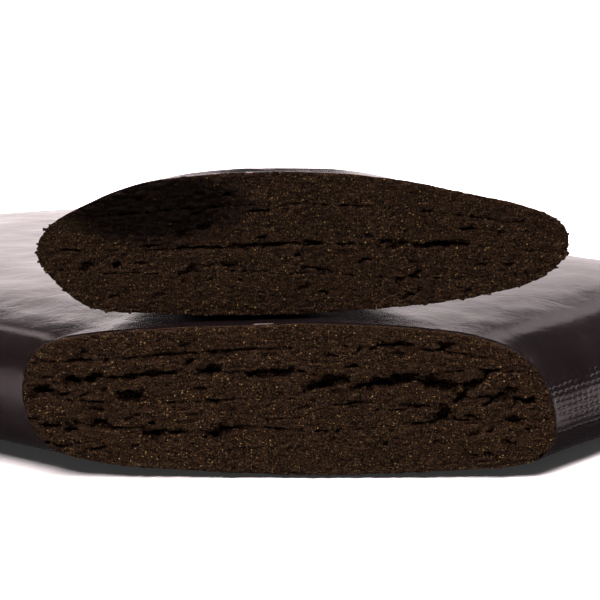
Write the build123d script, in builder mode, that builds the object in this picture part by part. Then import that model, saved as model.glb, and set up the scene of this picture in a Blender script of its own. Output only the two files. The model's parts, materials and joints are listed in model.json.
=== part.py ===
from build123d import *
import os
from math import atan2, cos, hypot, sin

# A pressed resin cake: a rounded slab with one corner cut off across its layers, and that slice lying on top.
#
# Both pieces have a thin pressed rind round a laminated core. Fissures divide each core into separate layers.
# The cut face of the cake lies along X and faces -Y. The origin is at the middle of the cake's footprint, on
# the surface that it stands on, with +Z up. Sizes are in millimetres.

# The whole cake before it was cut, seen from above: a rectangle with four rounded corners.
cake_length = 107.0
cake_width = 77.0
cake_height = 16.8
right_corner_radius = 14.0
back_corner_radius = 43.0
left_corner_radius = 20.0
missing_corner_radius = 12.0

# The cut takes off one corner: how much of each side goes with it.
cut_from_length = 42.6
cut_from_width = 34.5

# The rim, from the underside to the top: how far in from the widest outline on the two long sides, the same on
# the two short sides, and the share of the height. The long sides are squarer above and the short ones below.
rim_profile = [
    (22.0, 22.0, 0.0),
    (13.0, 11.0, 0.037),
    (8.2, 4.4, 0.066),
    (5.0, 1.7, 0.098),
    (2.6, 0.65, 0.150),
    (1.3, 0.15, 0.220),
    (0.6, 0.0, 0.320),
    (0.1, 0.25, 0.450),
    (0.0, 0.7, 0.570),
    (0.3, 1.6, 0.690),
    (0.7, 3.1, 0.800),
    (1.6, 4.9, 0.862),
    (3.3, 6.7, 0.903),
    (6.2, 8.8, 0.935),
    (11.5, 12.5, 0.967),
    (21.0, 21.0, 1.0),
]
# Each corner keeps this much less of its radius for each millimetre in.
corner_tightening = 0.025

# The pressed rind, and the open seam between it and the core and between two layers.
rind_thickness = 0.5
rind_seam = 0.1
layer_seam = 0.2

# Fissures across the cake: (share of half the cut's width, share of the height), from left to right.
cake_fissures = {
    1: [(-0.96, 0.35), (-0.74, 0.34), (-0.51, 0.28), (-0.19, 0.34), (0.04, 0.31), (0.57, 0.37), (0.97, 0.32)],
    2: [(-0.98, 0.53), (-0.64, 0.49), (-0.30, 0.50), (0.04, 0.51), (0.40, 0.44), (0.62, 0.50), (0.97, 0.49)],
    3: [(-0.98, 0.66), (-0.60, 0.64), (-0.19, 0.69), (0.04, 0.69), (0.21, 0.62), (0.48, 0.65), (0.96, 0.64)],
    4: [(-0.96, 0.75), (-0.60, 0.77), (-0.07, 0.83), (0.41, 0.84), (0.60, 0.81), (0.83, 0.75), (0.97, 0.73)],
}

# The slice: it is as wide as the cut, with crumbled ends that spread a little, and it lies slid to the right.
slice_spread = 0.4
slice_shift = 1.3
slice_height = 15.3
slice_setback = 2.0
slice_depth = 23.5
slice_gap = 0.2

# Its sections from the cut face back, as it narrows and thins towards the cake's old corner: shares of the
# depth, the left and right reach, the top and the belly.
slice_sections = [
    (0.0, 1.0, 1.0, 1.0, 0.0),
    (0.26, 0.88, 0.80, 0.955, 0.0),
    (0.52, 0.70, 0.55, 0.83, 0.0),
    (0.75, 0.49, 0.27, 0.62, 0.03),
    (0.92, 0.33, 0.02, 0.48, 0.12),
]
slice_tip = (1.0, -0.17, 0.28)

# The slice's cut outline, round from its left tip: (share of the reach to that side, share of its height).
slice_outline = [
    (-1.0, 0.45),
    (-0.965, 0.59),
    (-0.84, 0.74),
    (-0.62, 0.90),
    (-0.34, 0.98),
    (0.0, 1.0),
    (0.34, 0.965),
    (0.66, 0.85),
    (0.90, 0.73),
    (0.985, 0.62),
    (1.0, 0.48),
    (0.935, 0.30),
    (0.76, 0.17),
    (0.54, 0.085),
    (0.20, 0.03),
    (-0.20, -0.01),
    (-0.58, 0.015),
    (-0.83, 0.085),
    (-0.915, 0.21),
    (-0.98, 0.33),
]

# Fissures across the slice: (share of the slice's mean reach, share of its height).
slice_fissures = {
    1: [(-0.95, 0.29), (-0.55, 0.30), (-0.10, 0.31), (0.35, 0.27), (0.95, 0.33)],
    2: [(-0.95, 0.47), (-0.60, 0.45), (-0.10, 0.48), (0.35, 0.50), (0.95, 0.44)],
    3: [(-0.90, 0.66), (-0.50, 0.72), (-0.05, 0.77), (0.40, 0.74), (0.90, 0.62)],
}

# Worked out: the cake lies with its cut along X, so its long side runs back to the left.
cut_width = hypot(cut_from_length, cut_from_width)
cut_angle = atan2(cut_from_width, cut_from_length)
along_length = Vector(-cos(cut_angle), sin(cut_angle))
along_width = Vector(sin(cut_angle), cos(cut_angle))

missing_corner = Vector(0, 0)
right_corner = missing_corner + along_width * cake_width
left_corner = missing_corner + along_length * cake_length
back_corner = right_corner + along_length * cake_length


def plan_corners(long_inset, short_inset):
    """The corners of one plan outline, each with the way in to the middle of its round, and its radius."""
    near = along_width * long_inset
    beside = along_length * short_inset
    shrink = 1 - corner_tightening * (long_inset + short_inset) / 2
    corners = [
        (missing_corner + near + beside, along_length + along_width, missing_corner_radius),
        (right_corner - near + beside, along_length - along_width, right_corner_radius),
        (back_corner - near - beside, -along_length - along_width, back_corner_radius),
        (left_corner + near - beside, along_width - along_length, left_corner_radius),
    ]
    return [(corner, inwards, radius * shrink) for corner, inwards, radius in corners]


def furthest(direction):
    """How far the whole cake reaches in a direction, at any height."""
    return max(
        (corner + inwards * radius).dot(direction) + radius
        for long_inset, short_inset, share in rim_profile
        for corner, inwards, radius in plan_corners(long_inset, short_inset)
    )


# The footprint's limits: the rounds of three corners, and the cut.
y_low = cut_from_length * sin(cut_angle)
middle = Vector((furthest(Vector(1, 0)) - furthest(Vector(-1, 0))) / 2, (y_low + furthest(Vector(0, 1))) / 2)

cut_y = y_low - middle.Y
cut_x = (cut_from_width * along_width.X + cut_from_length * along_length.X) / 2 - middle.X
cut_plane = Plane(origin=(0, cut_y, 0), z_dir=(0, 1, 0))
reach = cake_length + cake_width

seat_z = cake_height + slice_gap
slice_y = cut_y + slice_setback
slice_reach = cut_width / 2 + slice_spread
slice_left = slice_reach - slice_shift
slice_right = slice_reach + slice_shift


def plan_outline(long_inset, short_inset, height):
    """The cake seen from above at one height, drawn in from the widest outline of its long and short sides."""
    corners = plan_corners(long_inset, short_inset)
    points = [corner - middle for corner, inwards, radius in corners]
    with BuildSketch(Plane.XY.offset(height)) as outline:
        with BuildLine():
            FilletPolyline(*points, radius=[radius for corner, inwards, radius in corners], close=True)
        make_face()
    return outline.sketch


def cake_sections(skin):
    """The rim's plan outlines, all of them a skin's thickness inside the cake's surface."""
    inner_height = cake_height - 2 * skin
    return [
        plan_outline(long_inset + skin, short_inset + skin, skin + share * inner_height)
        for long_inset, short_inset, share in rim_profile
    ]


def slice_section(section, skin):
    """The slice's upright outline at one place along its depth, a skin's thickness inside its surface."""
    depth_share, left_share, right_share, top_share, belly_share = section
    left = slice_left * left_share - skin
    right = slice_right * right_share - skin
    belly = slice_height * belly_share + skin
    tall = slice_height * top_share - skin - belly
    points = [
        ((right if side > 0 else left) * side, belly + share * tall)
        for side, share in slice_outline
    ]
    y = slice_y + depth_share * (slice_depth - skin)
    with BuildSketch(Plane(origin=(cut_x, y, seat_z), x_dir=(1, 0, 0), z_dir=(0, -1, 0))) as outline:
        with BuildLine():
            Spline(*points, periodic=True)
        make_face()
    return outline.sketch


def slice_loft(skin):
    """The slice's upright outlines and the point where they close, behind."""
    depth_share, x_share, z_share = slice_tip
    tip = Vertex(
        cut_x + slice_left * x_share,
        slice_y + depth_share * (slice_depth - skin),
        seat_z + slice_height * z_share,
    )
    return [slice_section(section, skin) for section in slice_sections] + [tip]


def layer_profile(lower, upper, half_width, height, base):
    """The upright outline of one layer, between two fissures or beyond the first or the last."""
    below = [(-reach, -reach), (reach, -reach)]
    above = [(-reach, reach), (reach, reach)]
    if lower:
        below = [(x * half_width, z * height + layer_seam / 2) for x, z in lower]
    if upper:
        above = [(x * half_width, z * height - layer_seam / 2) for x, z in upper]
    with BuildSketch(Plane(origin=(cut_x, reach, base), x_dir=(1, 0, 0), z_dir=(0, -1, 0))) as profile:
        with BuildLine():
            for edge in (below, above):
                start, end = (-reach, edge[0][1]), (reach, edge[-1][1])
                if len(edge) > 2:
                    Line(start, edge[0])
                    Spline(*edge)
                    Line(edge[-1], end)
                else:
                    Line(start, end)
            Line((-reach, below[0][1]), (-reach, above[0][1]))
            Line((reach, below[-1][1]), (reach, above[-1][1]))
        make_face()
    return profile.sketch


def core_layers(core, fissures, half_width, height, base, name):
    """Cuts a core along its fissures, and returns its layers by name, the lowest first."""
    layers = {}
    for number in range(1, len(fissures) + 2):
        profile = layer_profile(fissures.get(number - 1), fissures.get(number), half_width, height, base)
        with BuildPart() as layer:
            add(core)
            extrude(profile, amount=2 * reach, mode=Mode.INTERSECT)
        layers[f"{name}_layer_{number}"] = layer.part
    return layers


# The cake.
with BuildPart() as cake_rind:
    loft(cake_sections(0), ruled=True)
    loft(cake_sections(rind_thickness), ruled=True, mode=Mode.SUBTRACT)
    split(bisect_by=cut_plane, keep=Keep.TOP)

with BuildPart() as cake_core:
    loft(cake_sections(rind_thickness + rind_seam), ruled=True)
    split(bisect_by=cut_plane, keep=Keep.TOP)

# The slice, flat where it rests on the cake.
with BuildPart() as slice_hollow:
    loft(slice_loft(rind_thickness))
    split(bisect_by=Plane.XY.offset(seat_z + rind_thickness), keep=Keep.TOP)

with BuildPart() as slice_rind:
    loft(slice_loft(0))
    split(bisect_by=Plane.XY.offset(seat_z), keep=Keep.TOP)
    add(slice_hollow.part, mode=Mode.SUBTRACT)

with BuildPart() as slice_core:
    loft(slice_loft(rind_thickness + rind_seam))
    split(bisect_by=Plane.XY.offset(seat_z + rind_thickness + rind_seam), keep=Keep.TOP)

pieces = {"cake_rind": cake_rind.part, "slice_rind": slice_rind.part}
pieces |= core_layers(cake_core.part, cake_fissures, cut_width / 2, cake_height, 0, "cake")
pieces |= core_layers(slice_core.part, slice_fissures, slice_reach, slice_height, seat_z, "slice")

os.makedirs("parts", exist_ok=True)
for name, piece in pieces.items():
    piece.label = name
    export_step(piece, f"parts/{name}.step")
    print(name, len(piece.solids()), round(piece.volume), piece.bounding_box())
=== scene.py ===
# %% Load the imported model
import json
import random
from math import radians

import bpy
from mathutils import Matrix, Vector

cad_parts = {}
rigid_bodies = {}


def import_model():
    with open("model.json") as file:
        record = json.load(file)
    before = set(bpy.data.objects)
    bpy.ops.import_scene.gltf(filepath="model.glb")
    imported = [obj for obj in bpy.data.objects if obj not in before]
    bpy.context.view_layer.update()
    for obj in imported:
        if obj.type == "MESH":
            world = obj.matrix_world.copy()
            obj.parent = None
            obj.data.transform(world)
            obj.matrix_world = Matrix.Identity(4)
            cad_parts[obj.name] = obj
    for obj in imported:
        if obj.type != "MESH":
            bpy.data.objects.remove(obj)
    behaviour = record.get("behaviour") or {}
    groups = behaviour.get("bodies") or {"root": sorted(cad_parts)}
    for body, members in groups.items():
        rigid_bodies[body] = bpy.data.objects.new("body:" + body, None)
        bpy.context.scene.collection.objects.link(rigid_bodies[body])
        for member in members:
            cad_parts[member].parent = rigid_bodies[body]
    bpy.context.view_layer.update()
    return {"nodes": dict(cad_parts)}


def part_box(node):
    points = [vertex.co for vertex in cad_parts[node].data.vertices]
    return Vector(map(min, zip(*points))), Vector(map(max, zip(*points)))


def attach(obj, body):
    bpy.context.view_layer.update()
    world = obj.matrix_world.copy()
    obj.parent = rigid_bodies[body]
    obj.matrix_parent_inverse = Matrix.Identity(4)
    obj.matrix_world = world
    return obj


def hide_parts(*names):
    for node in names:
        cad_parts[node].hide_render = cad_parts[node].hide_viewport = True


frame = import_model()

# %% [markdown]
# The object is a pressed resin cake about 11 cm long, with one corner cut off and lying on top as a slice.
# Everything here is in metres, so a millimetre gets a name, and the cut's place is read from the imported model.

# %% Places and sizes
MM = 0.001
cake_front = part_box("cake_rind")[0].y
slice_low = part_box("slice_rind")[0]
slice_front = slice_low.y

# The slice's left tip lies 26.53 mm to the left of the cut's middle.
cut_middle = slice_low.x + 26.53 * MM
print("Cut at y", round(cake_front / MM, 2), "mm, middle at x", round(cut_middle / MM, 2), "mm")

# %% [markdown]
# The camera looks straight at the cut from about 27 cm away and a little above, as one holds a small thing
# up to look at its grain. A long lens keeps the layers parallel.

# %% Camera
camera_data = bpy.data.cameras.new("camera")
camera_data.lens = 160.4
camera_data.sensor_width = 36.0
camera_data.clip_start = 0.01
camera = bpy.data.objects.new("camera", camera_data)
camera.location = (cut_middle + 1.03 * MM, cake_front - 270 * MM, 75 * MM)
camera.rotation_euler = (radians(90 - 11.7), 0, 0)
bpy.context.scene.collection.objects.link(camera)
bpy.context.scene.camera = camera

# %% [markdown]
# The studio is soft light from large panels over a plain white floor. The dark glossy rind shows mostly what
# it reflects, so two low panels stand behind, which the top mirrors at a shallow angle: bright at the left and
# dimmer at the right. A large panel overhead rakes down the cut and shades its cracks, and a small one in
# front fills it. Two small spots add gleams on the top. The world stays nearly black, so that the sides stay
# dark. A brighter world would be simpler, but it turns the rind grey all over.

# %% Light and world
scene = bpy.context.scene
scene.view_settings.view_transform = "Standard"
world = bpy.data.worlds.new("studio")
world.use_nodes = True
world.node_tree.nodes["Background"].inputs["Color"].default_value = (1, 0.95, 0.95, 1)
world.node_tree.nodes["Background"].inputs["Strength"].default_value = 0.06
scene.world = world


def panel(name, place, look_at, width, height, watts):
    """A flat soft light of this size, turned to a point."""
    data = bpy.data.lights.new(name, "AREA")
    data.shape = "RECTANGLE"
    data.size = width
    data.size_y = height
    data.energy = watts
    data.color = (1, 0.88, 0.89)
    light = bpy.data.objects.new(name, data)
    light.location = place
    light.rotation_euler = (Vector(look_at) - Vector(place)).to_track_quat("-Z", "Y").to_euler()
    scene.collection.objects.link(light)
    return light


panel("back_left_panel", (-0.55, 0.9, 0.23), (0, 0, 0.02), 1.1, 0.50, 3.2)
panel("back_right_panel", (0.45, 0.9, 0.23), (0, 0, 0.02), 0.9, 0.50, 1.75)
panel("overhead_panel", (0, -0.12, 0.8), (0, -0.02, 0), 0.8, 0.6, 36)
panel("front_panel", (-0.25, -0.5, 0.6), (0, 0, 0), 0.35, 0.25, 7)
panel("left_spot", (-0.334, 0.656, 0.666), (0, 0, 0.02), 0.14, 0.14, 0.14)
panel("right_spot", (0.343, 0.749, 0.554), (0, 0, 0.02), 0.14, 0.14, 0.08)

# %% [markdown]
# Blender's operators act on whatever is selected, so each step first selects only its own object. These
# helpers do what a hand would do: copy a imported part, add a modifier and apply it, cut with another shape.

# %% Helpers for shaping
def only(thing):
    """Selects one object and makes it the active one."""
    bpy.ops.object.select_all(action="DESELECT")
    thing.select_set(True)
    bpy.context.view_layer.objects.active = thing


def apply_modifier(thing, kind, **settings):
    """Adds a modifier with these settings and applies it."""
    only(thing)
    modifier = thing.modifiers.new(kind.lower(), kind)
    for key, value in settings.items():
        setattr(modifier, key, value)
    bpy.ops.object.modifier_apply(modifier=modifier.name)


def join_shape(thing, other, operation):
    """Cuts, joins or keeps the common part of two closed shapes."""
    apply_modifier(thing, "BOOLEAN", object=other, operation=operation, solver="MANIFOLD")


def remove(*things):
    """Deletes objects that only served as tools."""
    for thing in things:
        bpy.data.objects.remove(thing, do_unlink=True)


def merged_copy(node, name):
    """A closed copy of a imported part, with its loose triangles merged."""
    source = frame["nodes"][node]
    copy = bpy.data.objects.new(name, source.data.copy())
    copy.data.materials.clear()
    scene.collection.objects.link(copy)
    only(copy)
    bpy.ops.object.mode_set(mode="EDIT")
    bpy.ops.mesh.select_all(action="SELECT")
    bpy.ops.mesh.remove_doubles(threshold=1e-7)
    bpy.ops.object.mode_set(mode="OBJECT")
    return copy


def pick(thing, kind, test):
    """Selects in the mesh only the faces or vertices that pass a test, and leaves the mesh in edit mode."""
    only(thing)
    bpy.ops.object.mode_set(mode="EDIT")
    bpy.ops.mesh.select_mode(type=kind)
    bpy.ops.mesh.select_all(action="DESELECT")
    bpy.ops.object.mode_set(mode="OBJECT")
    for element in thing.data.polygons if kind == "FACE" else thing.data.vertices:
        element.select = test(element)
    bpy.ops.object.mode_set(mode="EDIT")


def block(name, low, high):
    """A box between two corners, to cut with."""
    low, high = Vector(low), Vector(high)
    bpy.ops.object.select_all(action="DESELECT")
    bpy.ops.mesh.primitive_cube_add(size=1, location=(low + high) / 2, scale=high - low)
    bpy.context.object.name = name
    return bpy.context.object


def grain_field(name, size, scale, kind="CLOUDS", **settings):
    """A noise pattern and an empty whose scale stretches it, both for a Displace modifier."""
    texture = bpy.data.textures.new(name, kind)
    for key, value in settings.items():
        setattr(texture, key, value)
    texture.noise_scale = size
    empty = bpy.data.objects.new(name, None)
    empty.scale = [MM * s for s in scale]
    scene.collection.objects.link(empty)
    bpy.context.view_layer.update()
    return texture, empty


def roughen(thing, field, amount, middle=0.5, group=""):
    """Pushes a surface in and out by a noise pattern."""
    texture, empty = field
    apply_modifier(thing, "DISPLACE", texture=texture, texture_coords="OBJECT", texture_coords_object=empty,
                   strength=amount * MM, mid_level=middle, direction="NORMAL", vertex_group=group)


def joined(things):
    """Makes several shapes into one object."""
    bpy.ops.object.select_all(action="DESELECT")
    for thing in things:
        thing.select_set(True)
    bpy.context.view_layer.objects.active = things[0]
    bpy.ops.object.join()
    return bpy.context.object


def count(thing):
    """How many triangles a mesh has."""
    return sum(len(face.vertices) - 2 for face in thing.data.polygons)


# %% [markdown]
# The rind is what the press left: a skin half a millimetre thick that follows every dent of the cloth it was
# pressed in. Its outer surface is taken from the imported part, run on past the cut, remeshed evenly and
# smoothed, and then dented by slow and fast noise. That solid blank is also the mould for the core.

# %% The blanks
def pressed_blank(node, name, grid, smoothing):
    """The outer surface of a rind as one smooth closed solid that runs on 3 mm past its cut."""
    blank = merged_copy(node, name)
    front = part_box(node)[0].y
    pick(blank, "FACE", lambda face: face.normal.y < -0.99 and abs(face.center.y - front) < 0.01 * MM)
    bpy.ops.mesh.delete(type="FACE")
    bpy.ops.object.mode_set(mode="OBJECT")
    highest = max(vertex.co.z for vertex in blank.data.vertices)
    pick(blank, "VERT", lambda vertex: vertex.co.z == highest)
    bpy.ops.mesh.select_linked()
    bpy.ops.mesh.select_all(action="INVERT")
    bpy.ops.mesh.delete(type="VERT")
    bpy.ops.mesh.select_non_manifold()
    bpy.ops.mesh.extrude_region_move(TRANSFORM_OT_translate={"value": (0, -3 * MM, 0)})
    bpy.ops.mesh.fill()
    bpy.ops.mesh.select_all(action="SELECT")
    bpy.ops.mesh.normals_make_consistent(inside=False)
    bpy.ops.object.mode_set(mode="OBJECT")
    apply_modifier(blank, "REMESH", mode="VOXEL", voxel_size=grid * MM)
    apply_modifier(blank, "SMOOTH", factor=0.5, iterations=smoothing)
    return blank


def above_floor(thing, group, start, full):
    """Weights that keep what rests on a surface flat: nothing at start, everything from full upwards."""
    weights = thing.vertex_groups.new(name=group)
    for vertex in thing.data.vertices:
        share = (vertex.co.z - start) / (full - start)
        weights.add([vertex.index], min(max(share, 0), 1), "REPLACE")


slow_dents = grain_field("slow_dents", 1.0, (15, 15, 9), noise_depth=2)
fast_dents = grain_field("fast_dents", 1.0, (3.4, 3.4, 2.6), noise_depth=2)

cake_blank = pressed_blank("cake_rind", "cake_blank", 0.66, 14)
above_floor(cake_blank, "free", 0.3 * MM, 2.0 * MM)
roughen(cake_blank, slow_dents, 0.3, 0.5, "free")
roughen(cake_blank, fast_dents, 0.07, 0.5, "free")

slice_blank = pressed_blank("slice_rind", "slice_blank", 0.36, 12)
above_floor(slice_blank, "free", slice_low.z + 0.1 * MM, slice_low.z + 1.0 * MM)
roughen(slice_blank, slow_dents, 0.35, 0.5, "free")
roughen(slice_blank, fast_dents, 0.12, 0.5, "free")
print("Blanks:", count(cake_blank), "and", count(slice_blank), "triangles")

# %% [markdown]
# At the cut the core's crumb runs out to the surface and the rind only shows as a fine lit edge behind it.
# So each rind starts a little behind the cut. Solidify gives it a wall of a third of a millimetre, and a small
# bevel rounds its edge.

# %% The rinds
def pressed_rind(blank, name, node, body, start):
    """A thin shell from a blank, open at the cut."""
    rind = bpy.data.objects.new(name, blank.data.copy())
    scene.collection.objects.link(rind)
    only(rind)
    bpy.ops.object.mode_set(mode="EDIT")
    bpy.ops.mesh.select_all(action="SELECT")
    bpy.ops.mesh.bisect(plane_co=(0, start, 0), plane_no=(0, -1, 0), clear_outer=True, use_fill=False)
    bpy.ops.object.mode_set(mode="OBJECT")
    apply_modifier(rind, "SOLIDIFY", thickness=0.35 * MM, offset=-1)
    apply_modifier(rind, "BEVEL", width=0.1 * MM, segments=2, limit_method="ANGLE", angle_limit=radians(60))
    only(rind)
    bpy.ops.object.shade_smooth_by_angle(angle=radians(40))
    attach(rind, body)
    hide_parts(node)
    print(name, count(rind), "triangles")
    return rind


behind_cut = 0.45 * MM
cake_rind = pressed_rind(cake_blank, "cake_pressed_rind", "cake_rind", "cake", cake_front + behind_cut)
slice_rind = pressed_rind(slice_blank, "slice_pressed_rind", "slice_rind", "slice", slice_front + behind_cut)

# %% [markdown]
# Where the dry core tore, it gapes in cracks that follow its layers. They are real hollows up to 2.4 mm deep,
# because bump alone can't go black. Each crack is a flattened ball with a noisy surface, set into the cut
# face, and is later cut out of the layers on both sides of it. The long ones are placed one by one. The short
# ones are strewn over the zones where the core is crazed, always in the same way.

# %% Cracks
# (to the right of the cut's middle, above the floor, length, height, rise to the right in degrees), in mm
cake_cracks = [
    (-22.6, 10.5, 2.0, 1.2, 0), (-20.3, 10.8, 2.2, 1.0, 8), (-15.1, 11.2, 8.4, 0.6, 6), (-8.3, 11.7, 2.4, 1.1, 5),
    (-2.0, 11.4, 6.3, 0.9, 2), (4.0, 10.4, 5.0, 1.35, 14), (10.0, 10.4, 7.4, 1.45, 12), (15.3, 10.2, 4.5, 1.6, -6),
    (19.0, 10.2, 2.9, 1.1, 15), (17.8, 8.8, 2.2, 0.9, 50), (15.9, 7.0, 2.4, 1.6, 25), (22.3, 9.2, 3.4, 0.8, 28),
    (24.5, 8.4, 2.4, 0.7, -4), (23.4, 6.3, 2.2, 0.7, 4), (20.7, 11.4, 1.5, 0.7, 20), (11.0, 14.4, 3.9, 0.4, 2),
    (15.9, 14.0, 2.1, 0.5, 25), (6.6, 12.1, 1.7, 0.35, 4), (6.7, 8.2, 1.9, 0.35, 12), (-25.5, 9.6, 3.0, 0.9, -6),
    (-23.5, 9.0, 1.0, 0.6, 0), (-16.6, 8.9, 3.4, 1.1, -8), (-8.3, 8.4, 1.5, 0.4, 8), (-25.1, 5.8, 2.3, 0.4, 0),
    (-22.8, 5.2, 1.6, 0.6, 0), (-19.8, 6.0, 1.9, 0.9, 10), (-17.0, 5.6, 4.0, 0.4, 0), (-14.1, 4.9, 2.4, 0.8, 12),
    (-11.7, 5.1, 2.3, 0.4, 6), (-7.0, 5.2, 3.7, 0.8, 18), (-10.4, 12.5, 0.9, 0.5, 30),
    (-21.5, 12.7, 9.8, 0.2, 2), (-12.9, 13.3, 7.2, 0.2, 6), (-5.7, 13.9, 7.2, 0.2, 3),
]
slice_cracks = [
    (-14.3, 24.5, 1.8, 0.35, 0), (-9.5, 24.3, 4.9, 0.4, 0), (-2.8, 24.6, 7.8, 0.5, 3), (2.3, 24.9, 2.7, 0.4, 2),
    (10.6, 24.9, 3.3, 0.4, -6), (15.6, 24.6, 6.9, 0.6, 3), (-17.9, 22.4, 1.1, 0.6, 60), (-2.9, 28.1, 2.8, 0.35, 4),
    (-6.1, 22.3, 1.7, 0.4, 4), (2.8, 22.0, 3.6, 0.4, -8), (18.8, 26.2, 2.9, 0.3, 4), (22.0, 25.8, 1.4, 0.35, 0),
]

# Where the core is full of small cracks: (left, right, low, high, number)
cake_crazed = [
    (12, 27, 2.5, 9, 26), (-27, -19, 3, 12, 14), (-19, 11, 6, 9.8, 16), (-25, 11, 3.5, 6.3, 14),
    (-25, 20, 12, 14.8, 12),
]
slice_crazed = [(-24, -6, 18.5, 23, 14), (-6, 24, 19, 24, 18), (-12, 27, 24, 27, 16), (-18, 6, 26, 30, 6)]


def small_cracks(zones, seed):
    """Short flat cracks at random places in each zone."""
    chance = random.Random(seed)
    return [
        (chance.uniform(left, right), chance.uniform(low, high), chance.uniform(0.5, 2.2),
         chance.uniform(0.08, 0.30), chance.uniform(-12, 28))
        for left, right, low, high, number in zones
        for _ in range(number)
    ]


crack_noise = grain_field("crack_noise", 1.0, (0.9, 0.7, 0.6), noise_depth=2)


def crack_cutter(cracks, name, front):
    """All the cracks of one cut face as one closed shape."""
    balls = []
    for x, z, length, height, rise in cracks:
        # The layers swell later on, which narrows each crack by this much.
        length, height = length + 0.3, height + 0.32
        depth = min(max(1.5 * height, 0.7), 2.4)
        bpy.ops.object.select_all(action="DESELECT")
        bpy.ops.mesh.primitive_ico_sphere_add(
            subdivisions=5 if length > 3 else 4, radius=1, location=(cut_middle + x * MM, front, z * MM),
            rotation=(0, radians(-rise), 0), scale=(length / 2 * MM, depth * MM, height / 2 * MM))
        ball = bpy.context.object
        bpy.ops.object.transform_apply(location=True, rotation=True, scale=True)
        roughen(ball, crack_noise, 0.9 * height, 0.5)
        balls.append(ball)
    cutter = joined(balls)
    cutter.name = name
    apply_modifier(cutter, "REMESH", mode="VOXEL", voxel_size=0.1 * MM)
    return cutter


cake_cracks += small_cracks(cake_crazed, 1)
slice_cracks += small_cracks(slice_crazed, 2)
cake_cutter = crack_cutter(cake_cracks, "cake_crack_cutter", cake_front)
slice_cutter = crack_cutter(slice_cracks, "slice_crack_cutter", slice_front)
print("Cracks:", len(cake_cracks), "in the cake and", len(slice_cracks), "in the slice")

# %% [markdown]
# Three patterns roughen the cut: laminae, flat and long like the pressed layers; ridged fissures that cut in
# between them; and crumb, a quarter of a millimetre across. Each is stretched by the empty that it follows.

# %% Grain of the core
laminae = grain_field("laminae", 1.0, (2.4, 1.0, 0.5), noise_depth=2)
crumb = grain_field("crumb", 1.0, (0.30, 0.28, 0.24), noise_depth=1, noise_type="HARD_NOISE")
fissures = grain_field("fissures", 1.0, (1.5, 0.9, 0.5), "MUSGRAVE", musgrave_type="RIDGED_MULTIFRACTAL",
                       octaves=2.0, contrast=2.2)
print("Grain patterns:", [texture.name for texture, empty in (laminae, crumb, fissures)])

# %% [markdown]
# The knife left the cut's outline crisp along the top, but the dry ends crumble. There, small lumps stick out
# of the outline and others are bitten out of it. They are joined into one shape first, so that each layer is
# cut only twice.

# %% Crumbling edges
# Where the cut's outline crumbles, in mm: (left, right, low, high, number of lumps)
cake_crumbling = [(-29, -24, 3, 13, 14), (-24, -21.5, 14, 17, 4), (23, 30, 1, 9.5, 44), (23, 30, 9.5, 13, 6)]
slice_crumbling = [(-29, -8, 16, 23, 60), (-29, -24, 23, 27, 8), (10, 26, 18, 23.5, 26), (24, 31, 22, 29, 22)]


def crumble(layer, zones, front, seed):
    """Sticks small lumps on the outline of the cut and bites others out of it, in the crumbling zones."""
    chance = random.Random(seed)
    on_edge = [
        v.co.copy() for v in layer.data.vertices
        if front - 0.3 * MM < v.co.y < front + 0.3 * MM and v.normal.y > -0.75
    ]
    lumps = {"DIFFERENCE": [], "UNION": []}
    for left, right, low, high, number in zones:
        spots = [
            spot for spot in on_edge
            if left < (spot.x - cut_middle) / MM < right and low < spot.z / MM < high
        ]
        for spot in chance.sample(spots, min(number, len(spots) // 40)):
            radius = chance.uniform(0.12, 0.34) * MM
            bpy.ops.object.select_all(action="DESELECT")
            bpy.ops.mesh.primitive_ico_sphere_add(
                subdivisions=3, radius=1, location=spot, scale=(radius * 1.3, radius, radius * 0.7))
            lump = bpy.context.object
            bpy.ops.object.transform_apply(location=True, rotation=True, scale=True)
            lumps[chance.choice(("DIFFERENCE", "UNION"))].append(lump)
    for operation, things in lumps.items():
        if things:
            lump = joined(things)
            roughen(lump, crumb, 0.34, 0.5)
            apply_modifier(lump, "REMESH", mode="VOXEL", voxel_size=0.09 * MM)
            join_shape(layer, lump, operation)
            remove(lump)


print("Lumps asked for:", sum(zone[-1] for zone in cake_crumbling + slice_crumbling))

# %% [markdown]
# The core is dark crumb pressed in layers. Only the first few millimetres behind the cut can be seen, so each
# layer is made in two parts and joined: a front with a fine even mesh, cracked and roughened, and a plain
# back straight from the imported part. One fine mesh for the whole layer would be simpler, but it would need
# millions of faces that nobody sees. At the cut itself a thin plate spreads out to the rind's surface.

# %% How a layer is made
front_depth = 3.6 * MM
plate_depth = 0.5 * MM
overlap = 0.4 * MM
# Far past the whole object, for the blocks that cut it.
beyond = 100 * MM


def spread_plate(node, name, blank, top, bottom, front):
    """The layer's edge plate: it reaches out to the blank's surface on every outer side."""
    plate = merged_copy(node, name)
    outer = plate.vertex_groups.new(name="outer")
    for face in plate.data.polygons:
        up = face.normal.z
        rim = abs(up) < 0.9 and face.normal.y > -0.9
        if rim or (top and up > 0.1) or (bottom and up < -0.1):
            outer.add(list(face.vertices), 1.0, "REPLACE")
    apply_modifier(plate, "DISPLACE", strength=1.6 * MM, mid_level=0, vertex_group="outer")
    slab = block("slab", (-beyond, front, -beyond), (beyond, front + plate_depth, beyond))
    join_shape(plate, slab, "INTERSECT")
    join_shape(plate, blank, "INTERSECT")
    remove(slab)
    return plate


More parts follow.
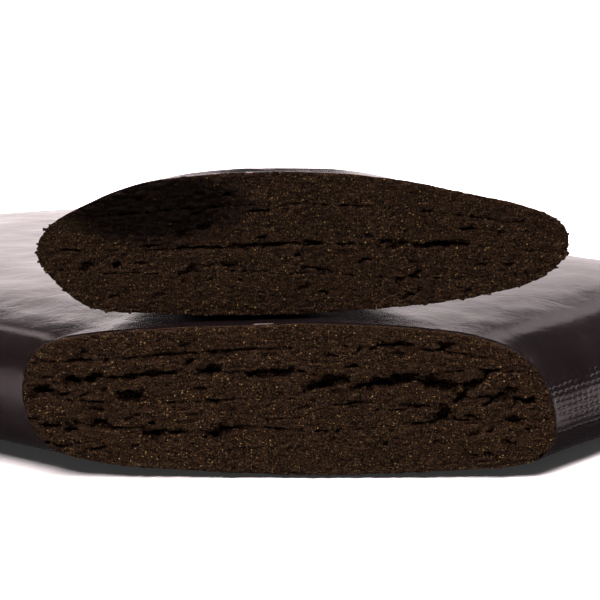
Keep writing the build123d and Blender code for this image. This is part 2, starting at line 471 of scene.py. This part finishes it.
def core_layer(node, name, body, blank, cutter, zones, top=False, bottom=False):
    """One layer of the core, cracked and roughened at its cut, and plain behind it."""
    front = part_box(node)[0].y
    plate = spread_plate(node, "plate", blank, top, bottom, front)
    layer = merged_copy(node, name)
    near = block("near", (-beyond, front - 10 * MM, -beyond), (beyond, front + front_depth, beyond))
    far = block("far", (-beyond, front + front_depth - overlap, -beyond), (beyond, beyond, beyond))
    back = merged_copy(node, "back")
    join_shape(back, far, "INTERSECT")
    join_shape(layer, near, "INTERSECT")
    join_shape(layer, plate, "UNION")
    join_shape(layer, cutter, "DIFFERENCE")
    apply_modifier(layer, "REMESH", mode="VOXEL", voxel_size=0.125 * MM)
    # The layer swells to close the seam to its neighbours before it is roughened.
    apply_modifier(layer, "DISPLACE", strength=0.16 * MM, mid_level=0)
    roughen(layer, laminae, 0.16, 0.5)
    roughen(layer, fissures, -0.13, 0.85)
    roughen(layer, crumb, 0.22, 0.5)
    join_shape(layer, blank, "INTERSECT")
    # The number of triangles differs from layer to layer, so it serves as the seed.
    crumble(layer, zones, front, count(layer) % 97)
    join_shape(layer, back, "UNION")
    remove(plate, near, far, back)
    only(layer)
    bpy.ops.object.shade_smooth_by_angle(angle=radians(60))
    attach(layer, body)
    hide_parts(node)
    print(name, count(layer), "triangles")
    return layer


# %% [markdown]
# The blanks serve as moulds for the layers: whatever the roughening pushed past the outline is cut off, a
# tenth of a millimetre under the rind's surface. The outline stays crisp, and the rind shows as a fine edge.

# %% The layers
cake_mould = bpy.data.objects.new("cake_mould", cake_blank.data.copy())
slice_mould = bpy.data.objects.new("slice_mould", slice_blank.data.copy())
for mould in (cake_mould, slice_mould):
    scene.collection.objects.link(mould)
    apply_modifier(mould, "DISPLACE", strength=-0.09 * MM, mid_level=0)

cake_layers = [
    core_layer(f"cake_layer_{n}", f"cake_crumb_layer_{n}", "cake", cake_mould, cake_cutter, cake_crumbling,
               top=n == 5, bottom=n == 1)
    for n in range(1, 6)
]
slice_layers = [
    core_layer(f"slice_layer_{n}", f"slice_crumb_layer_{n}", "slice", slice_mould, slice_cutter, slice_crumbling,
               top=n == 4, bottom=n == 1)
    for n in range(1, 5)
]
remove(cake_mould, slice_mould, cake_blank, slice_blank, cake_cutter, slice_cutter)
for texture, empty in (slow_dents, fast_dents, crack_noise, laminae, crumb, fissures):
    remove(empty)

# %% [markdown]
# A finish is written as arithmetic on node outputs. This small class holds one output socket, and adding or
# multiplying it adds the Math node. Every other node is made by one method.

# %% A short way to write finishes
class Wire:
    """One output of a node, to be used in sums and products."""

    def __init__(self, owner, socket):
        self.owner = owner
        self.socket = socket

    def maths(self, operation, first, second):
        return self.owner.node("ShaderNodeMath", {"operation": operation}, {0: first, 1: second})

    def __add__(self, other):
        return self.maths("ADD", self, other)

    def __radd__(self, other):
        return self.maths("ADD", other, self)

    def __sub__(self, other):
        return self.maths("SUBTRACT", self, other)

    def __rsub__(self, other):
        return self.maths("SUBTRACT", other, self)

    def __mul__(self, other):
        return self.maths("MULTIPLY", self, other)

    def __rmul__(self, other):
        return self.maths("MULTIPLY", other, self)

    def __pow__(self, other):
        return self.maths("POWER", self, other)


class Finish:
    """A material, built node by node."""

    def __init__(self, name):
        self.material = bpy.data.materials.new(name)
        self.material.use_nodes = True
        self.tree = self.material.node_tree
        self.shader = self.tree.nodes["Principled BSDF"]
        self.place = self.node("ShaderNodeTexCoord", {}, {}, "Object")

    def node(self, kind, settings, sockets, output=0):
        """Adds one node and returns one of its outputs."""
        node = self.tree.nodes.new(kind)
        for key, value in settings.items():
            setattr(node, key, value)
        for key, value in sockets.items():
            self.feed(node.inputs[key], value)
        return Wire(self, node.outputs[output])

    def axis(self, number):
        """The place along x, y or z, in metres."""
        return self.node("ShaderNodeSeparateXYZ", {}, {0: self.place}, number)

    def feed(self, socket, value):
        """Wires an output into a socket, or sets a plain value."""
        if isinstance(value, Wire):
            self.tree.links.new(value.socket, socket)
        else:
            socket.default_value = value

    def noise(self, size, stretch=(1, 1, 1), detail=3.0, roughness=0.55):
        """Noise whose blotches are about size millimetres, longer along the stretched axes."""
        scale = [1 / (size * MM * s) for s in stretch]
        spot = self.node("ShaderNodeVectorMath", {"operation": "MULTIPLY"}, {0: self.place, 1: scale})
        return self.node("ShaderNodeTexNoise", {},
                         {"Vector": spot, "Scale": 1.0, "Detail": detail, "Roughness": roughness})

    def cells(self, size, output="Distance", stretch=(1, 1, 1)):
        """Cells about size millimetres across: how far from the middle of one, or its own random colour."""
        scale = [1 / (size * MM * s) for s in stretch]
        spot = self.node("ShaderNodeVectorMath", {"operation": "MULTIPLY"}, {0: self.place, 1: scale})
        return self.node("ShaderNodeTexVoronoi", {}, {"Vector": spot, "Scale": 1.0}, output)

    def step(self, value, low, high, to_low=0.0, to_high=1.0):
        """Maps a range smoothly to another, and stops at its ends."""
        return self.node("ShaderNodeMapRange", {"interpolation_type": "SMOOTHSTEP"},
                         {"Value": value, "From Min": low, "From Max": high, "To Min": to_low, "To Max": to_high})

    def blend(self, share, first, second):
        """Mixes two colours."""
        node = self.tree.nodes.new("ShaderNodeMix")
        node.data_type = "RGBA"
        self.feed(node.inputs[0], share)
        self.feed(node.inputs[6], first)
        self.feed(node.inputs[7], second)
        return Wire(self, node.outputs[2])

    def bump(self, height, distance, strength=1.0):
        """Relief without geometry, up to distance millimetres high."""
        return self.node("ShaderNodeBump", {}, {"Height": height, "Distance": distance * MM, "Strength": strength})

    def shade(self, **sockets):
        """Sets or wires the shader's sockets, with _ for a space in a name."""
        for key, value in sockets.items():
            self.feed(self.shader.inputs[key.replace("_", " ")], value)


# %% [markdown]
# The rind is nearly black with a brown-purple cast and shines like waxed leather, because resin rose to the
# surface in the press. Its finish has a fine pebbled bump, shallow dimples, dull and shiny patches, faint
# wrinkles, and low on the right side the net of the press cloth. The gloss is plain specular light: a clear
# coat would lay a second, sharper reflection on top.

# %% Rind finish
rind = Finish("pressed_rind")
patches = rind.noise(7, detail=4)
pebble = rind.noise(0.22, detail=2)
pores = rind.noise(0.8, detail=3)
dimples = rind.noise(2.4, detail=2)
tint = rind.blend(patches, (0.0016, 0.0010, 0.0011, 1), (0.0050, 0.0033, 0.0035, 1))

# The net of the press cloth shows low on the right side only. Its cells are longer along the side (a metre
# along it counts for 0.6) than they are tall.
across = rind.axis(0)
height = rind.axis(2)
on_side = rind.step(across, cut_middle + 24 * MM, cut_middle + 29 * MM)
at_height = rind.step(height, 3 * MM, 5 * MM) * rind.step(height, 9.0 * MM, 11.5 * MM, 1.0, 0.0)
along = across * 0.377 + rind.axis(1) * 0.466
weave = rind.node("ShaderNodeCombineXYZ", {}, {0: along, 1: height})
net_cells = rind.node("ShaderNodeTexVoronoi", {"voronoi_dimensions": "2D"},
                      {"Vector": weave, "Scale": 1 / (0.62 * MM), "Randomness": 0.2})
net = rind.step(net_cells, 0.22, 0.5) * on_side * at_height * rind.step(patches, 0.35, 0.55)

# Fine wrinkles: thin lines where slow noise crosses its middle.
folds = rind.noise(16, (1.6, 1, 1), 2)
wrinkle = rind.step(folds, 0.490, 0.498) * rind.step(folds, 0.502, 0.510, 1.0, 0.0)
rind.shade(
    Base_Color=tint,
    Roughness=rind.step(patches, 0.3, 0.7, 0.13, 0.21),
    Normal=rind.bump(pebble + pores * 0.8 + dimples * 2.4 + net * 3.2 - wrinkle * 0.35, 0.014),
    Specular_IOR_Level=0.5,
    Specular_Tint=(1.0, 0.84, 0.85, 1),
)
for thing in (cake_rind, slice_rind):
    thing.data.materials.clear()
    thing.data.materials.append(rind.material)
print("Rind finish has", len(rind.tree.nodes), "nodes")

# %% [markdown]
# The crumb is a dark coffee brown that drifts in bands along the layers. Between its grains it is painted nearly
# black, as shade in the hollows; some grains are pale, and golden specks one to two tenths of a millimetre across
# stand out. The slice is a little moister and darker, and its upper left part is darker still, nearly black. All
# of it is matt, with hardly any gloss, and its finest grain is bump, because the mesh ends at an eighth of a
# millimetre.

# %% Core finish
core = Finish("pressed_crumb")


def golden_specks(size, radius, share):
    """Specks of one size: a few of many cells hold one, and each has its own brightness."""
    spot = core.cells(size)
    chosen = core.node("ShaderNodeSeparateColor", {}, {0: core.cells(size, "Color")}, 0)
    glow = core.node("ShaderNodeSeparateColor", {}, {0: core.cells(size, "Color")}, 1)
    return core.step(spot, radius * 0.5, radius, 1.0, 0.0) * core.step(chosen, 1 - share, 1.01 - share) * glow


drift = core.noise(6, (2.2, 1, 0.7), 3)
bands = core.noise(0.9, (4, 1, 0.5), 3)
grit = core.noise(0.13, (1.4, 1, 0.9), 2)
clods = core.noise(0.5, (1.6, 1, 0.8), 2)
brown = core.blend(drift, (0.0074, 0.0036, 0.0017, 1), (0.0135, 0.0071, 0.0032, 1))
brown = core.blend(core.step(bands, 0.35, 0.7), brown, (0.0090, 0.0044, 0.0023, 1))
# Painted shade: where the grains sink, between the raised ones, the colour goes nearly black.
unshaded_grain_tops = core.step(grit * 0.7 + clods * 0.3, 0.43, 0.58)
brown = core.blend(unshaded_grain_tops, (0.0009, 0.0004, 0.0002, 1), brown)
pale_grains = core.step(core.noise(0.11, (1.5, 1, 0.9), 1), 0.58, 0.70)
brown = core.blend(pale_grains, brown, (0.043, 0.0265, 0.0148, 1))
golden = golden_specks(0.20, 0.34, 0.14) + golden_specks(0.38, 0.24, 0.16)
brown = core.blend(golden, brown, (0.17, 0.118, 0.042, 1))

# The slice's upper left part is darkened, nearly black.
height = core.axis(2)
darkening_x = (core.axis(0) - (cut_middle - 14.5 * MM)) * (1 / (9.0 * MM))
darkening_z = (height - 28.6 * MM) * (1 / (3.6 * MM))
ragged = (core.noise(2.2, (1.6, 1, 1), 4) - 0.5) * 1.2
upper_left_darkening = core.step(darkening_x * darkening_x + darkening_z * darkening_z + ragged, 0.5, 1.8, 0.86, 0.0)
moist = core.step(height, 16.5 * MM, 17.5 * MM, 0.0, 0.22)
brown = core.blend(upper_left_darkening + (1 - upper_left_darkening) * moist, brown, (0.0004, 0.0002, 0.0001, 1))
core.shade(
    Base_Color=brown,
    Roughness=core.step(grit, 0.3, 0.7, 0.95, 0.7),
    Normal=core.bump(grit + clods, 0.09),
    Specular_IOR_Level=0.02,
)
for thing in cake_layers + slice_layers:
    thing.data.materials.clear()
    thing.data.materials.append(core.material)
print("Core finish has", len(core.tree.nodes), "nodes")

# %% [markdown]
# The floor is a wide white sheet, part of the studio and not of the object. The rind would mirror it all
# round and look grey down to the ground, so reflections skip it and see the card of the next step.

# %% Floor
bpy.ops.object.select_all(action="DESELECT")
bpy.ops.mesh.primitive_plane_add(size=4, location=(0, 0, 0))
floor = bpy.context.object
floor.name = "floor"
paper = Finish("floor_paper")
pale = paper.blend(paper.noise(2.0), (0.90, 0.90, 0.90, 1), (0.92, 0.92, 0.92, 1))
paper.shade(Base_Color=pale, Roughness=0.7, Emission_Color=pale, Emission_Strength=0.03)
floor.data.materials.append(paper.material)
floor.visible_glossy = False
print("Floor:", floor.name)

# %% [markdown]
# Photographers lay a dark card under a glossy thing to keep its lower edge dark. This one only shows in
# reflections, and its glow is a painted reflection of the floor: dark round the object, painted shade where the
# floor lies in the object's shadow, and bright further off, which lights the middle of the sides.

# %% Reflected card
bpy.ops.object.select_all(action="DESELECT")
bpy.ops.mesh.primitive_plane_add(size=4, location=(0, 0, -1 * MM))
card = bpy.context.object
card.name = "reflected_card"
dusk = Finish("card_painted_reflection")
card_x = dusk.axis(0) - 12 * MM
card_y = dusk.axis(1)
distance = (card_x * card_x + card_y * card_y) ** 0.5
# Painted reflection of the floor: dark as painted shade near the object, bright further off.
painted_floor_reflection = dusk.blend(dusk.step(distance, 50 * MM, 85 * MM), (0.04, 0.035, 0.036, 1), (1.10, 0.98, 0.99, 1))
dusk.shade(Base_Color=(0, 0, 0, 1), Roughness=1.0, Specular_IOR_Level=0.0, Emission_Color=painted_floor_reflection,
           Emission_Strength=1.0)
card.data.materials.append(dusk.material)
card.visible_camera = False
card.visible_diffuse = False
card.visible_shadow = False
print("Card:", card.name)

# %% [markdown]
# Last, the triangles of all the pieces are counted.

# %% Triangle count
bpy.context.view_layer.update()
total = sum(count(o) for o in [cake_rind, slice_rind, *cake_layers, *slice_layers])
print("Triangles in all:", total)
